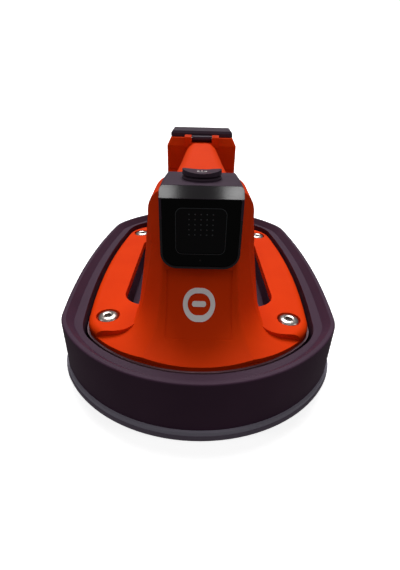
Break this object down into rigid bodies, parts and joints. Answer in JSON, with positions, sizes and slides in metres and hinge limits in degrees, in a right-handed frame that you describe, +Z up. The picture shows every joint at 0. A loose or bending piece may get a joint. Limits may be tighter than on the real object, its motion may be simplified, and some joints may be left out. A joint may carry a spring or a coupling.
{
  "type": "vacuum suction lifter",
  "caption": "Hand-held cordless electric vacuum lifter for tile, glass and stone: oval base with foam seal, orange bridge handle, glossy display head with push button, battery box at the rear.",
  "frame": {"origin": "middle of the lifting face, on the underside of the foam seal", "axes": "+X to the user's right, -Y towards the display end, +Z up, away from the lifted slab"},
  "size_m": [0.1836, 0.2806, 0.1292],
  "materials": {
    "shell_orange": "fine moulded texture, satin",
    "tray_plum": "fine moulded texture, satin",
    "head_plum": "smooth moulded, satin to glossy",
    "lens_black": "polished",
    "window_smoke": "polished, smoked",
    "foam_grey": "closed cell foam, dull",
    "carrier_grey": "moulded rubber, dull",
    "gasket_grey": "moulded rubber, dull",
    "grip_rubber": "ribbed, dull",
    "plate_black": "moulded, dull",
    "screw_steel": "zinc plated",
    "insert_brass": "machined",
    "spring_steel": "drawn wire",
    "motor_steel": "plated, satin",
    "bronze_bush": "sintered",
    "magnet_black": "pressed ferrite",
    "rotor_steel": "laminations with copper winding",
    "board_green": "solder mask",
    "chip_black": "moulded package",
    "led_white": "clear lens",
    "badge_white": "moulded, glossy",
    "pump_grey": "glass filled nylon",
    "valve_blue": "moulded",
    "coil_copper": "taped winding",
    "hose_clear": "soft tube",
    "filter_white": "felt",
    "cell_green": "shrink sleeve",
    "battery_black": "moulded",
    "contact_gold": "plated",
    "tab_white": "ribbon",
    "lead_red": "insulated wire",
    "lead_black": "insulated wire"
  },
  "bodies": {
    "housing": {"foam_seal": "foam_grey", "seal_carrier": "carrier_grey", "base_plate": "plate_black", "base_plate_screws": "screw_steel", "base_tray": "tray_plum", "threaded_inserts": "insert_brass", "flange_gasket": "gasket_grey", "inlet_grille": "plate_black", "inlet_filter": "filter_white", "inlet_fitting": "pump_grey", "lower_housing": "shell_orange", "flange_screws": "screw_steel", "front_badge": "badge_white", "upper_housing": "shell_orange", "grip_strip": "grip_rubber", "shell_screws": "screw_steel", "head_cap": "head_plum", "display_bezel": "head_plum", "display_lens": "lens_black", "display_window": "window_smoke", "display_board": "board_green", "led_matrix": "led_white", "status_led": "led_white", "button_collar": "head_plum", "power_switch": "chip_black", "control_board": "board_green", "controller_chips": "chip_black", "buzzer": "chip_black", "vacuum_sensor": "chip_black", "motor_can": "motor_steel", "motor_end_bell": "motor_steel", "motor_bushes": "bronze_bush", "motor_magnets": "magnet_black", "pump_case": "pump_grey", "pump_diaphragm": "grip_rubber", "pump_cover": "pump_grey", "pump_mounts": "grip_rubber", "suction_hose": "hose_clear", "exhaust_muffler": "plate_black", "valve_body": "valve_blue", "valve_coil": "coil_copper", "battery_case": "battery_black", "battery_cells": "cell_green", "battery_pull_tab": "tab_white", "battery_contacts": "contact_gold", "terminal_block": "plate_black", "battery_shelf": "pump_grey", "battery_lead_positive": "lead_red", "battery_lead_negative": "lead_black", "hinge_pin": "screw_steel", "lid_gasket": "grip_rubber"},
    "button": {"power_button": "head_plum", "button_spring": "spring_steel"},
    "rotor": {"motor_rotor": "rotor_steel"},
    "plunger": {"valve_plunger": "motor_steel", "valve_seat": "grip_rubber", "valve_spring": "spring_steel"},
    "lid": {"battery_lid": "head_plum"}
  },
  "joints": [
    {"name": "button_press", "type": "slide", "parent": "housing", "child": "button", "axis": [0, 0, -1], "range_m": [0, 0.0007], "stiffness_N_per_m": 900, "springref_m": -0.0006, "deforming": ["button_spring"]},
    {"name": "lid_hinge", "type": "hinge", "parent": "housing", "child": "lid", "pos_m": [0, 0.0665, 0.1236], "axis": [1, 0, 0], "range_deg": [0, 100]},
    {"name": "rotor_spin", "type": "hinge", "parent": "housing", "child": "rotor", "pos_m": [0, -0.052, 0.06], "axis": [0, 0, 1], "continuous": true},
    {"name": "valve_lift", "type": "slide", "parent": "housing", "child": "plunger", "axis": [0, 0, 1], "range_m": [0, 0.0015], "stiffness_N_per_m": 300, "springref_m": -0.001, "deforming": ["valve_spring"]}
  ]
}
